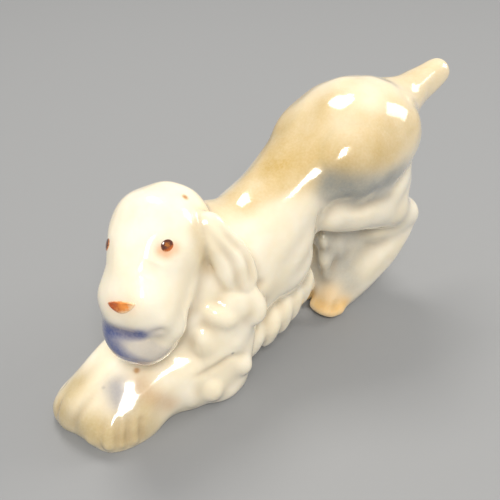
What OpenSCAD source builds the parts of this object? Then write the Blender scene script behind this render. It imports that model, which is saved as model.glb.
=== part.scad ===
// Miniature spaniel in a play bow: glazed porcelain, cast in pieces that are fitted face to face.
// Millimetres. The figure faces -Y, its left side is +X, and it stands on Z = 0.

/* [Trunk] */
// Front of the breast, ahead of the middle of the figure
breast_reach = 25; // [23:0.1:26]
// Back of the seat, behind the middle of the figure
seat_reach = 31.6; // [30:0.1:33]
// Width across the breast
breast_width = 11; // [10:0.1:13]
// Width across the shoulders
shoulder_width = 16.4; // [14:0.1:18]
// Width across the waist
waist_width = 15.2; // [13:0.1:17]
// Width across the loin
loin_width = 16.2; // [14:0.1:18]
// Width across the rump
rump_width = 19.6; // [17:0.1:22]
// Width across the seat
seat_width = 13; // [11:0.1:15]
// Top of the breast above the floor
breast_height = 20; // [18:0.1:22]
// Back above the floor at the shoulders
shoulder_height = 28.8; // [27:0.1:30]
// Back above the floor at the waist
waist_height = 32.8; // [31:0.1:34]
// Back above the floor at the loin
loin_height = 37.6; // [35:0.1:40]
// Back above the floor at the rump
rump_height = 43; // [41:0.1:45]
// Top of the seat above the floor
seat_height = 39; // [36:0.1:41]
// Underside above the floor at the breast
breast_clear = 4.5; // [3.5:0.1:6]
// Underside above the floor at the shoulders
chest_clear = 4; // [3:0.1:6]
// Underside above the floor at the waist, over the belly
waist_clear = 18; // [16:0.1:20]
// Underside above the floor at the loin
tuck_clear = 27.5; // [26:0.1:29]
// Underside above the floor at the rump
groin_clear = 29; // [27.5:0.1:30]
// Underside above the floor at the seat
seat_clear = 28.5; // [27:0.1:30]
// Underside of the belly above the floor
belly_clear = 9; // [8:0.1:10]
// Width across the belly
belly_width = 15.6; // [14.4:0.1:16.6]
// Back of the belly, behind the middle of the figure
belly_back = 6.2; // [5.4:0.1:7]
// Width of the neck
neck_width = 13; // [11:0.1:15]
// Crest of the neck above a straight line
neck_crest = 0.2; // [0:0.1:1]

/* [Head] */
// Point between the eyes, ahead of the middle of the figure
eye_reach = 24.3; // [23.5:0.1:25]
// Point between the eyes above the floor
eye_height = 30; // [29:0.1:31.5]
// Turn of the head to its left
head_turn = 22; // [10:1:30]
// Nod of the head
head_nod = 10; // [4:1:16]
// Tilt of the head, left eye up
head_tilt = 17; // [8:1:22]
// Skull behind the eyes
skull_length = 12.6; // [11.5:0.1:14]
// Width of the skull
skull_width = 14.8; // [13.4:0.1:15.8]
// Skull above the eyes
skull_rise = 5.8; // [5:0.1:6.6]
// Jaw below the eyes
jaw_drop = 9.4; // [8.5:0.1:10.5]
// Width across the brows
brow_width = 14; // [12.8:0.1:14.6]
// Brows above the eyes
brow_rise = 4; // [3.4:0.1:4.6]
// Muzzle ahead of the eyes
muzzle_length = 9.9; // [9:0.1:11]
// Width of the muzzle at the flews
muzzle_width = 11.6; // [10.4:0.1:12.6]
// Tip of the muzzle, bent to its left
muzzle_aside = 0.9; // [0:0.1:1.4]
// Width of the muzzle at the nose
snout_width = 10.2; // [9.2:0.1:11.2]
// Bridge of the nose below the eyes
bridge_drop = 0.5; // [0.2:0.1:1.2]
// Tip of the nose below the eyes
nose_drop = 2.1; // [1.6:0.1:2.6]
// Flews below the eyes
flew_drop = 13.6; // [12.8:0.1:14.4]
// Front lip below the eyes
lip_drop = 9.4; // [8.8:0.1:10]
// Thickness of a flew
flew_width = 6.2; // [5.2:0.1:7]

/* [Face and ball] */
// Diameter of an enamel eye
eye_diameter = 2.2; // [1.6:0.1:2.6]
// Middle of an eye below the skin of the head
eye_sink = 0.5; // [0.3:0.1:0.7]
// Width of the enamel nose
nose_width = 3.8; // [3:0.1:5]
// Height of the enamel nose
nose_height = 2; // [1.4:0.1:2.6]
// Diameter of the ball
ball_diameter = 12.4; // [11.4:0.1:13]
// Middle of the ball behind the tip of the muzzle
ball_back = 5.3; // [4.6:0.1:6]
// Middle of the ball below the front lip
ball_low = 1.7; // [1.2:0.1:2.2]
// Middle of the ball, to the right of the head's middle plane
ball_aside = 1.1; // [0.4:0.1:1.6]

/* [Ears] */
// Length of an ear
ear_length = 14.8; // [13.4:0.1:16]
// Width of an ear
ear_width = 5.2; // [4.6:0.1:6]
// Thickness of an ear
ear_thickness = 2.8; // [2.2:0.1:3.4]

/* [Forelegs] */
// Front of the left paw, ahead of the middle of the figure
left_paw_reach = 38.4; // [36:0.1:40]
// Front of the right paw, ahead of the middle of the figure
right_paw_reach = 40.5; // [38:0.1:42]
// Width of the left paw
left_paw_width = 10; // [9:0.1:10.6]
// Width of the right paw
right_paw_width = 8.6; // [7.8:0.1:9.4]
// Height of a paw
paw_height = 7.2; // [6.2:0.1:8.2]
// Width of a wrist
wrist_width = 6.8; // [6:0.1:7.6]
// Height of the left foreleg over the wrist
left_wrist_height = 9.8; // [9:0.1:10.6]
// Height of the right foreleg over the wrist
right_wrist_height = 12; // [11:0.1:12.6]
// Seam between the forelegs, right of the middle plane
paw_seam = 0.5; // [0:0.1:1]
// Depth that each paw is pressed in at the seam
paw_press = 1; // [0.6:0.1:1.3]
// Clay between the forelegs, side to side
bridge_width = 9; // [8:0.1:10]
// Clay between the forelegs above the floor, at the wrists
bridge_height = 11.4; // [10:0.1:12]

/* [Hind legs] */
// Haunch, top to bottom
haunch_width = 16.4; // [14.8:0.1:17.6]
// Outer face of the haunch from the middle plane
haunch_spread = 10.9; // [10:0.1:11.8]
// Thigh, front to back
thigh_width = 14.8; // [13.4:0.1:16]
// Knee behind the middle of the figure
knee_reach = 14; // [13:0.1:15]
// Knee above the floor
knee_height = 22.6; // [21.6:0.1:23.6]
// Knee from the middle plane
knee_spread = 5.4; // [4.8:0.1:6]
// Thickness of the lower thigh
gaskin_width = 6.4; // [5.6:0.1:7.2]
// Hock behind the middle of the figure
hock_reach = 28.6; // [27.4:0.1:29.8]
// Hock above the floor
hock_height = 16.8; // [15.8:0.1:17.8]
// Hock from the middle plane
hock_spread = 5.4; // [4.8:0.1:6.2]
// Shank, front to back
shank_width = 9; // [8:0.1:10]
// Shank, side to side
shank_depth = 5.8; // [5:0.1:6.4]
// Toes behind the middle of the figure
toe_reach = 10; // [9:0.1:11]
// Foot from the middle plane
foot_spread = 2.9; // [2.7:0.1:3.4]
// Width of a hind foot
foot_width = 6; // [5.2:0.1:6.6]
// Web of clay between the hind legs, side to side
web_width = 10; // [8.6:0.1:11]

/* [Feathering] */
// Height of the shoulder feathering above the floor
ruff_height = 21.5; // [19:0.1:23]
// Shoulder feathering, front to back
ruff_width = 11.8; // [10.4:0.1:13]
// Outer face of the shoulder feathering from the middle plane
ruff_spread = 9.7; // [9.2:0.1:10.4]
// Height of its locks above it
lock_relief = 0.8; // [0.5:0.1:1.1]
// Belly fringe above the floor
fringe_clear = 2.6; // [1.5:0.1:4]
// Width of the belly fringe
fringe_width = 12.6; // [11:0.1:13.6]
// Folds along the belly fringe
fringe_folds = 7; // [4:1:8]

/* [Tail] */
// Tail behind the seat of the trunk
tail_length = 9; // [7.5:0.1:10.5]
// Tip of the tail above the seat
tail_rise = 1.1; // [0.4:0.1:2.4]
// Thickness of the tail
tail_width = 7; // [6.2:0.1:7.8]
// Thickness of the tail at its tip
tail_tip = 5.8; // [5:0.1:6.4]

/* [Hidden] */

ivory = "#f1e9d6";
tan = "#cdb98f";
blue = "#4d62a6";
rust = "#8a3c14";
orange = "#e07a2a";

LEFT = 1;
RIGHT = -1;
UP = [0, 0, 1];
ROUND = 2;
FULL = 2.5;
BOXY = 3.2;
reach_all = 200;

// Curves through stations. A station is [x, y, z, half width, rise, drop, squareness].
function point(s) = [s[0], s[1], s[2]];
function unit(v) = v / norm(v);
function curve(a, b, c, d, f) =
  (2 * b + (c - a) * f + (2 * a - 5 * b + 4 * c - d) * f * f + (3 * b - a - 3 * c + d) * f * f * f) / 2;
function station(rows, v) =
  let (
    last = len(rows) - 1,
    i = min(floor(v * last), last - 1),
    b = rows[i],
    c = rows[i + 1],
    a = i > 0 ? rows[i - 1] : 2 * b - c,
    d = i < last - 1 ? rows[i + 2] : 2 * c - b
  )
  curve(a, b, c, d, v * last - i);
function heading(rows, v) =
  let (e = 0.001)
  unit(point(station(rows, min(v + e, 1))) - point(station(rows, max(v - e, 0))));

// The two ends of a loft are rounded over these shares of its length.
function dome(v, ends) =
  v < ends[0] ? sqrt(1 - pow(1 - v / ends[0], 2))
  : v > 1 - ends[1] ? sqrt(1 - pow(1 - (1 - v) / ends[1], 2))
  : 1;

// Folds deepen towards the lower edge of a piece.
function relief(v, a, folds) = 1 + folds[0] * cos(360 * folds[1] * v) * (1 - sin(a)) / 2;

function bend(c, squareness) = sign(c) * pow(abs(c), 2 / squareness);

// Point on the skin of a loft, at share v of its length and angle a round it.
function skin(rows, v, a, ends, up, folds = [0, 0]) =
  let (
    s = station(rows, v),
    along = heading(rows, v),
    side = unit(cross(along, up)),
    rise = cross(side, along),
    k = dome(v, ends) * relief(v, a, folds)
  )
  point(s) + k * (side * s[3] * bend(cos(a), s[6]) + rise * (sin(a) > 0 ? s[4] : s[5]) * bend(sin(a), s[6]));

// Closed solid through the stations, with rings set closer near both ends.
module loft(rows, ends, up, rings, sides, folds = [0, 0]) {
  share = [for (k = [1:rings - 1]) (1 - cos(180 * k / rings)) / 4 + k / rings / 2];
  n = len(share) * sides;
  points = [
    point(rows[0]),
    for (v = share, j = [0:sides - 1]) skin(rows, v, 360 * j / sides, ends, up, folds),
    point(rows[len(rows) - 1])
  ];
  faces = [
    for (j = [0:sides - 1]) [0, 1 + (j + 1) % sides, 1 + j],
    for (k = [0:len(share) - 2], j = [0:sides - 1])
      let (a = 1 + k * sides + j, b = 1 + k * sides + (j + 1) % sides)
      each [[a, b + sides, a + sides], [a, b, b + sides]],
    for (j = [0:sides - 1]) let (r = n - sides + 1) [n + 1, r + j, r + (j + 1) % sides]
  ];
  polyhedron(points, faces);
}

module above_floor() {
  translate([-reach_all, -reach_all, 0]) cube(2 * reach_all);
}

// Everything on one side of an upright plane.
module half(side, x) {
  translate([side == LEFT ? x : x - 2 * reach_all, -reach_all, -reach_all]) cube(2 * reach_all);
}

// Trunk: six sections from breast to seat, each given by its width, top and underside.
shoulder_y = -12;
waist_y = 0;
loin_y = 8.5;
rump_y = 18;
function section(y, width, top, clear) =
  let (middle = (top + clear) / 2)
  [0, y, middle, width / 2, top - middle, middle - clear, ROUND];
trunk_rows = [
  section(-breast_reach, breast_width, breast_height, breast_clear),
  section(shoulder_y, shoulder_width, shoulder_height, chest_clear),
  section(waist_y, waist_width, waist_height, waist_clear),
  section(loin_y, loin_width, loin_height, tuck_clear),
  section(rump_y, rump_width, rump_height, groin_clear),
  section(seat_reach, seat_width, seat_height, seat_clear)
];
trunk_ends = [0.12, 0.14];

// Belly: a tub under the waist, from inside the trunk down to the fringe, with an upright back.
belly_y = waist_y - 1;
belly_top = waist_height - 3.8;
function belly_section(share, width, back, front) =
  [0, belly_y, belly_top + share * (belly_clear - belly_top), width * belly_width / 2,
   back * (belly_back - belly_y), front, BOXY];
belly_rows = [
  belly_section(0, 0.9, 0.92, 4),
  belly_section(0.25, 1, 1, 6.5),
  belly_section(0.6, 0.94, 0.96, 8.5),
  belly_section(1, 0.85, 0.92, 8.5)
];

// Head frame: columns to its left, forward and up, from the point between the eyes.
eye_point = [0.2, -eye_reach, eye_height];
head_forward = [sin(head_turn) * cos(head_nod), -cos(head_turn) * cos(head_nod), -sin(head_nod)];
level_left = [cos(head_turn), sin(head_turn), 0];
level_up = cross(head_forward, level_left);
head_left = level_left * cos(head_tilt) + level_up * sin(head_tilt);
head_up = level_up * cos(head_tilt) - level_left * sin(head_tilt);
function on_head(left, forward, up) = eye_point + left * head_left + forward * head_forward + up * head_up;
function head_section(forward, middle, width, rise, drop, squareness, aside = 0) =
  let (p = on_head(aside * muzzle_aside, forward, middle))
  [p[0], p[1], p[2], width / 2, rise - middle, drop + middle, squareness];
head_rows = [
  head_section(-skull_length, -1.8, 0.57 * skull_width, 0.33 * skull_rise, 0.77 * jaw_drop, ROUND),
  head_section(-0.76 * skull_length, -1.6, 0.81 * skull_width, 0.71 * skull_rise, 0.91 * jaw_drop, ROUND),
  head_section(-0.4 * skull_length, -1.8, skull_width, skull_rise, jaw_drop, ROUND),
  head_section(-0.1 * skull_length, -2.4, brow_width, brow_rise, (jaw_drop + flew_drop) / 2, ROUND),
  head_section(0.18 * muzzle_length, -3.6, muzzle_width, 0.48 * brow_rise, flew_drop, FULL, 0.45),
  head_section(0.57 * muzzle_length, -4.6, (muzzle_width + snout_width) / 2, -bridge_drop,
               0.94 * flew_drop, (FULL + BOXY) / 2, 0.8),
  head_section(muzzle_length, -5, snout_width, -nose_drop, lip_drop, BOXY, 1)
];
head_ends = [0.18, 0.13];

// Flews: a hanging lip on each side of the muzzle, beside the ball.
function flew_section(side, out, drop, width) =
  let (p = on_head(0.7 * muzzle_aside + side * out, 0.63 * muzzle_length, -drop), r = width * flew_width / 2)
  [p[0], p[1], p[2], r, r, r, ROUND];
function flew_rows(side) = [
  flew_section(side, 2.8, 0.44 * flew_drop, 1),
  flew_section(side, 3, 0.7 * flew_drop, 0.94),
  flew_section(side, 3.5, 0.95 * flew_drop, 0.55)
];

neck_root = [0, shoulder_y + 6, 0.68 * shoulder_height];
neck_top = on_head(0, -0.55 * skull_length, -3.2);
neck_rows = [
  [each neck_root, neck_width / 2, neck_width / 2, neck_width / 2, ROUND],
  [each (neck_root + neck_top) / 2 + neck_crest * UP, neck_width / 2, neck_width / 2, neck_width / 2, ROUND],
  [each neck_top, 0.46 * neck_width, 0.46 * neck_width, 0.46 * neck_width, ROUND]
];

// Places on the skin of the head, as shares of its length and angles round it.
eye_station = 0.54;
eye_angle = 32;
function eye_middle(side) =
  let (
    p = skin(head_rows, eye_station, side == LEFT ? 180 - eye_angle : eye_angle, head_ends, head_up),
    inward = unit(point(station(head_rows, eye_station)) - p)
  )
  p + eye_sink * inward;
nose_station = 0.99;

// An ear hangs from the side of the skull: the left falls back over the neck, the right straight down.
ear_station = 0.28;
ear_angle = 16;
function ear_root(side) = skin(head_rows, ear_station, side == LEFT ? 180 - ear_angle : ear_angle,
                               head_ends, head_up);
function ear_fall(side) = unit(side == LEFT ? [3.2, 4, -11.6] : [-1, 4.6, -11.6]);
function ear_face(side) = side == LEFT ? [0.8, -0.25, 0.55] : [-0.92, -0.2, 0.3];
// Share of the ear's length that its middle bows outwards, then its width from root to tip
ear_bow = 0.25;
ear_outline = [[0, 0.62], [0.3, 0.81], [0.6, 1], [0.85, 0.9], [1, 0.73]];
function ear_line(side, share) =
  ear_root(side) + ear_length * (share * ear_fall(side) + ear_bow * share * (1 - share) * [side, 0, 0]);
function ear_rows(side) = [
  for (e = ear_outline)
    [each ear_line(side, e[0]), e[1] * ear_width / 2, ear_thickness / 2, ear_thickness / 2, ROUND]
];

// The nose is an enamel pad across the end of the muzzle.
nose_point = skin(head_rows, nose_station, 90, head_ends, head_up);
nose_rows = [
  for (share = [-0.5, 0, 0.5])
    let (r = nose_height / 2)
    [each nose_point + share * nose_width * head_left, r, r, r, ROUND]
];

// Forelegs run forward from the shoulder along the floor, side by side at the seam.
function paw_reach(side) = side == LEFT ? left_paw_reach : right_paw_reach;
function wrist_height(side) = side == LEFT ? left_wrist_height : right_wrist_height;
function paw_width(side) = side == LEFT ? left_paw_width : right_paw_width;
leg_middle = 0.45;
paw_middle = 0.3;
elbow_y = shoulder_y - 8;
wrist_y = shoulder_y - 14;
paw_length = 7.4;
function leg_section(x, y, width, height, middle = leg_middle) =
  let (half_height = (1 - middle) * height)
  [x, y, middle * height, width / 2, half_height, half_height, (ROUND + FULL) / 2];
function foreleg_rows(side) =
  let (
    shoulder_x = side * (shoulder_width / 2 - 2),
    paw_x = side * (paw_width(side) / 2 - paw_press) - paw_seam,
    w = wrist_width,
    h = wrist_height(side),
    reach = paw_reach(side)
  )
  [
    leg_section(shoulder_x, shoulder_y, 1.2 * w, 1.3 * h),
    leg_section((2 * shoulder_x + paw_x) / 3, elbow_y, 1.1 * w, 1.2 * h),
    leg_section((shoulder_x + 3 * paw_x) / 4, wrist_y, w, h),
    leg_section(paw_x, paw_length - reach, paw_width(side), paw_height, paw_middle),
    leg_section(paw_x - 0.6 * side, -reach, 0.86 * paw_width(side), 0.7 * paw_height, paw_middle)
  ];
// Clay fills the gap between the forelegs, and is parted with them at the seam.
bridge_rows = [
  leg_section(-paw_seam, shoulder_y, bridge_width, 1.14 * bridge_height),
  leg_section(-paw_seam, wrist_y, bridge_width, bridge_height),
  leg_section(-paw_seam, -(left_paw_reach + right_paw_reach) / 2, 0.9 * bridge_width,
              0.53 * bridge_height, paw_middle)
];

// Hind legs: a round haunch, thigh to the knee, lower thigh back to the hock, shank forward to the toes.
haunch_length = 26;
haunch_drop = 10;
haunch_swell = 6.9;
haunch_root = 3.4;
thigh_depth = 5;
hip_drop = 6.5;
hip_inset = 6.1;
toe_height = 5.2;
function haunch_section(side, back, drop, width, swell) =
  [side * swell * (haunch_spread - haunch_swell), rump_y + back * haunch_length,
   rump_height - drop * haunch_drop, width * haunch_width / 2, swell * haunch_swell, haunch_root, ROUND];
function haunch_rows(side) = [
  haunch_section(side, -0.6, 1.08, 0.32, 0.57),
  haunch_section(side, -0.31, 1.08, 0.83, 0.92),
  haunch_section(side, -0.04, 1, 1, 1),
  haunch_section(side, 0.23, 0.82, 0.8, 0.84),
  haunch_section(side, 0.4, 0.68, 0.46, 0.59)
];
function hip(side) = [side * (rump_width / 2 - hip_inset), rump_y + 5, rump_height - hip_drop];
function knee(side) = [side * knee_spread, knee_reach, knee_height];
function hock(side) = [side * hock_spread, hock_reach, hock_height];
function toes(side) = [side * foot_spread, toe_reach, toe_height / 2];
function thigh_rows(side) =
  let (h = hip(side), t = knee(side) + [0, 4, -3.1], w = thigh_width / 2, d = thigh_depth)
  [
    [each h, 0.81 * w, d, 0.8 * d, ROUND],
    [each h + 0.38 * (t - h), 0.9 * w, 0.8 * d, 0.8 * d, ROUND],
    [each h + 0.7 * (t - h) + [0, 0.5, 0], w, 0.66 * d, 0.8 * d, ROUND],
    [each t, 0.68 * w, 0.56 * d, 0.58 * d, ROUND]
  ];
function gaskin_rows(side) =
  let (k = knee(side), h = hock(side), w = gaskin_width / 2)
  [
    [0.7 * k[0], k[1] - 6.5, k[2] + 0.6, 0.88 * w, 0.88 * w, 0.88 * w, ROUND],
    [each k, w, w, w, ROUND],
    [each (k + h) / 2 + [0.4 * side, 0, 0.5], w, w, w, ROUND],
    [each h, 0.88 * w, 0.88 * w, 0.88 * w, ROUND]
  ];
function shank_rows(side) =
  let (h = hock(side), t = toes(side), w = shank_width / 2, d = shank_depth / 2, b = foot_width / 2)
  [
    [each h + [0, 0.6, -0.2], 0.55 * w, 0.83 * d, 0.83 * d, ROUND],
    [each h + 0.23 * (t - h) - 2.3 * UP, 0.9 * w, d, d, ROUND],
    [each h + 0.53 * (t - h) - 2.6 * UP, w, d, d, ROUND],
    [each t + [0.2 * side, 4.2, 0.8], 0.93 * w, b, b, ROUND],
    [each t, 0.71 * w, b, b, ROUND]
  ];
// The web hangs from the groin to the toes in the middle plane, and is parted there between the shanks.
web_length = 19;
function web_section(share, back, width, depth) =
  let (k = knee(LEFT), t = toes(LEFT))
  [0, k[1] + share * (t[1] - k[1]) + back * web_length, k[2] + share * (t[2] - k[2]), width * web_length / 2,
   depth * web_width / 2, depth * web_width / 2, ROUND];
web_rows = [
  web_section(-0.12, -0.08, 0.74, 0.88),
  web_section(0.26, 0.29, 1, 1),
  web_section(0.63, 0.32, 0.67, 1),
  web_section(1.03, 0.19, 0.42, 0.84)
];

// Feathering: a curly mass on each shoulder and a folded fringe under the belly.
ruff_swell = 2.3;
ruff_root = 3.5;
function ruff_section(side, share, y, width, out) =
  [side * (ruff_spread - ruff_swell + out), y, share * ruff_height,
   width * ruff_width / 2, ruff_swell, ruff_root, ROUND];
function ruff_rows(side) = [
  ruff_section(side, 1, shoulder_y - 1.5, 0.42, -0.6),
  ruff_section(side, 0.79, shoulder_y - 0.8, 0.83, -0.2),
  ruff_section(side, 0.56, shoulder_y - 1.6, 0.93, 0),
  ruff_section(side, 0.28, shoulder_y - 3, 1, 0.4),
  ruff_section(side, -0.02, shoulder_y - 4.6, 0.92, 0.2)
];
// Locks of the shoulder: root and tip, each behind the shoulder and above the floor as a share of the
// height, then the radius, and how far the lock lies inside the outer face.
ruff_locks = [
  [[-3.2, 1], [-5.4, 0.63], 2, 0.5],
  [[-0.8, 1.01], [-2.4, 0.6], 1.5, 0.3],
  [[2, 1.02], [-0.4, 0.55], 1.6, 0.1],
  [[-6, 0.8], [-8, 0.44], 1.9, 1.7],
  [[-3.4, 0.6], [-0.4, 0.4], 1.6, 0.1],
  [[-5.4, 0.51], [-0.4, 0.17], 2.2, -0.2],
  [[-8.2, 0.42], [-5.6, 0], 2.2, 0.2]
];
// A lock is thickest a third of the way down, and both its ends sink into the feathering.
lock_form = [[0, 0.55, 1.2], [0.35, 1, 0], [0.7, 0.85, 0.2], [1, 0.5, 1]];
function lock_rows(side, lock) = [
  for (f = lock_form)
    let (p = lock[0] + f[0] * (lock[1] - lock[0]), r = f[1] * lock[2])
    [side * (ruff_spread + lock_relief - lock[3] - lock[2] - f[2]), shoulder_y + p[0], p[1] * ruff_height,
     r, r, r, ROUND]
];
// The fringe's middle line rises along the belly; it is rooted this deep in it.
fringe_root = 6.5;
function fringe_section(y, middle, width) =
  [0, y, middle, width * fringe_width / 2, fringe_root, middle - fringe_clear, FULL];
fringe_rows = [
  fringe_section(shoulder_y + 2, belly_clear, 1),
  fringe_section(shoulder_y + 8, belly_clear + 1.4, 1.02),
  fringe_section(waist_y + 1, belly_clear + 3.4, 1),
  fringe_section(belly_back - 0.2, belly_clear + 6.6, 0.9)
];
fold_form = [0.05, fringe_folds];

// Croup: the seat draws out into a cone, and the tail stands on its end.
croup_inset = 6.6;
croup_start = [0, seat_reach - croup_inset, seat_height - 3.4];
tail_end = [0, seat_reach + tail_length, seat_height + tail_rise];
function tail_section(share, width) =
  let (r = width / 2)
  [each croup_start + share * (tail_end - croup_start), r, r, r, ROUND];
croup_rows = [
  tail_section(0, 2.14 * tail_width),
  tail_section(0.3, 1.42 * tail_width),
  tail_section(0.58, tail_width)
];
tail_rows = [
  tail_section(0.3, tail_width),
  tail_section(0.58, tail_width),
  tail_section(1, tail_tip)
];

// Whole forms, before neighbours are cut away.
module body_form() {
  loft(trunk_rows, trunk_ends, UP, 26, 28);
  loft(belly_rows, [0.25, 0.3], [0, 1, 0], 10, 20);
  loft(croup_rows, [0.15, 0.1], UP, 8, 18);
  loft(neck_rows, [0.2, 0.3], UP, 9, 22);
}

module head_form() {
  loft(head_rows, head_ends, head_up, 30, 28);
  for (side = [LEFT, RIGHT]) loft(flew_rows(side), [0.3, 0.3], head_forward, 8, 12);
}

module ear_form(side) {
  loft(ear_rows(side), [0.15, 0.12], ear_face(side), 14, 16);
}

module ball_form() {
  translate(on_head(-ball_aside, muzzle_length - ball_back, -lip_drop - ball_low))
    sphere(d = ball_diameter, $fn = 56);
}

module foreleg_form(side) {
  intersection() {
    union() {
      loft(foreleg_rows(side), [0.1, 0.12], UP, 16, 20);
      loft(bridge_rows, [0.12, 0.14], UP, 10, 14);
    }
    above_floor();
    half(side, -paw_seam);
  }
}

module thigh_form(side) {
  intersection() {
    union() {
      loft(haunch_rows(side), [0.3, 0.3], [side, 0, 0], 12, 20);
      loft(thigh_rows(side), [0.2, 0.2], [side, 0, 0], 10, 18);
      loft(gaskin_rows(side), [0.2, 0.2], [side, 0, 0], 10, 14);
    }
    half(side, 0);
  }
}

module shank_form(side) {
  intersection() {
    union() {
      loft(shank_rows(side), [0.12, 0.14], [side, 0, 0], 14, 16);
      loft(web_rows, [0.12, 0.14], [1, 0, 0], 10, 16);
    }
    above_floor();
    half(side, 0);
  }
}

module ruff_form(side) {
  intersection() {
    union() {
      loft(ruff_rows(side), [0.15, 0.12], [side, 0, 0], 14, 20);
      for (lock = ruff_locks) loft(lock_rows(side, lock), [0.35, 0.35], [0.3, 1, 0.2], 7, 10);
    }
    above_floor();
  }
}

module fringe_form() {
  loft(fringe_rows, [0.15, 0.15], UP, 44, 20, folds = fold_form);
}

module tail_form() {
  loft(tail_rows, [0.1, 0.12], UP, 10, 16);
}

// Fitted pieces.
module body() {
  color(tan) body_form();
}

module head() {
  color(ivory) difference() {
    head_form();
    body_form();
  }
}

module ear(side) {
  color(ivory) difference() {
    ear_form(side);
    head_form();
    body_form();
  }
}

module eye(side) {
  color(rust) difference() {
    translate(eye_middle(side)) sphere(d = eye_diameter, $fn = 32);
    head_form();
  }
}

module nose() {
  color(orange) difference() {
    loft(nose_rows, [0.5, 0.5], head_up, 8, 14);
    head_form();
  }
}

module ball() {
  color(blue) difference() {
    ball_form();
    head_form();
    body_form();
  }
}

module foreleg(side) {
  color(ivory) difference() {
    foreleg_form(side);
    body_form();
  }
}

module ruff(side) {
  color(ivory) difference() {
    ruff_form(side);
    body_form();
    foreleg_form(side);
    ear_form(side);
  }
}

module belly_fringe() {
  color(ivory) difference() {
    fringe_form();
    body_form();
    ruff_form(LEFT);
    ruff_form(RIGHT);
  }
}

module thigh(side) {
  color(ivory) difference() {
    thigh_form(side);
    body_form();
    fringe_form();
  }
}

module shank(side) {
  color(ivory) difference() {
    shank_form(side);
    body_form();
    thigh_form(side);
    fringe_form();
  }
}

module tail() {
  color(tan) difference() {
    tail_form();
    body_form();
  }
}

body();
head();
ear(LEFT);  // left_ear
ear(RIGHT);  // right_ear
eye(LEFT);  // left_eye
eye(RIGHT);  // right_eye
nose();
ball();
foreleg(LEFT);  // left_foreleg
foreleg(RIGHT);  // right_foreleg
ruff(LEFT);  // left_ruff
ruff(RIGHT);  // right_ruff
belly_fringe();
thigh(LEFT);  // left_thigh
thigh(RIGHT);  // right_thigh
shank(LEFT);  // left_shank
shank(RIGHT);  // right_shank
tail();
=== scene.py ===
# %% [markdown]
# # A porcelain spaniel in a play bow
# The figure is hand-painted porcelain about 81 mm long: rump up, chest and forelegs on the ground, head
# turned to its left with a ball in the mouth. The potter casts trunk, head, legs, ears and feathering
# separately, joins them with wet clay, presses in the details, sprays and paints them, and glazes the lot.
# This lesson follows the same order, so each cell is one of the potter's steps.

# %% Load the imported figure
import bpy
import numpy as np
from mathutils import Matrix, Vector


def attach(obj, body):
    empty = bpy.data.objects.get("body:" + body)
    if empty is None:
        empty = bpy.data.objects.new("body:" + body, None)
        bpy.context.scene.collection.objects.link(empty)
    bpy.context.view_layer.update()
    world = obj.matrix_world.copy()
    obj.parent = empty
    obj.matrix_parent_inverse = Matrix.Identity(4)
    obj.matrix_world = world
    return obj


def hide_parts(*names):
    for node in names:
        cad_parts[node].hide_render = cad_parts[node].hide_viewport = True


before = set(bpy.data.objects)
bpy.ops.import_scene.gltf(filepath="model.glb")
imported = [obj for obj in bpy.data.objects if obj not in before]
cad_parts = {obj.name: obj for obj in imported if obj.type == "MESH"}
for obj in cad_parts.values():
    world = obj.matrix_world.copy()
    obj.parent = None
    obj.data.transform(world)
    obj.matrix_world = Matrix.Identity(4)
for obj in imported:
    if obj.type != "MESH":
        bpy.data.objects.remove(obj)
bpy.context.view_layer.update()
MM = 0.001

# %% [markdown]
# ## Curves and rounded forms
# Every limb of the figure is a rounded form round a curved line, like a sausage of clay that swells and
# thins. It could be pulled out of a sphere by hand; here it is a surface with two parameters, the share of
# the way along the line and the angle round it, so that numpy works out all its points at once.

# %% Smooth curve through a few rows of numbers
def spline(rows, share):
    """Curve through rows at shares 0 to 1 of the way. In each span it is the cubic that passes through
    both its rows, heading at each of them from the row before to the row after."""
    rows = np.asarray(rows, float)
    last = len(rows) - 1
    ends = np.vstack([2 * rows[0] - rows[1], rows, 2 * rows[-1] - rows[-2]])
    span = np.clip((share * last).astype(int), 0, last - 1)
    f = (share * last - span)[:, None]
    a, b, c, d = (ends[span + k] for k in range(4))
    return (2 * b + (c - a) * f + (2 * a - 5 * b + 4 * c - d) * f**2 + (3 * b - a - 3 * c + d) * f**3) / 2


def unit(vectors):
    """Vectors divided by their length."""
    return vectors / np.linalg.norm(vectors, axis=-1, keepdims=True)


# %% Rounded form round a spine
UP = (0, 0, 1)
ROUND, LEG, FULL, BOXY = 2.0, 2.25, 2.5, 3.2


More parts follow.
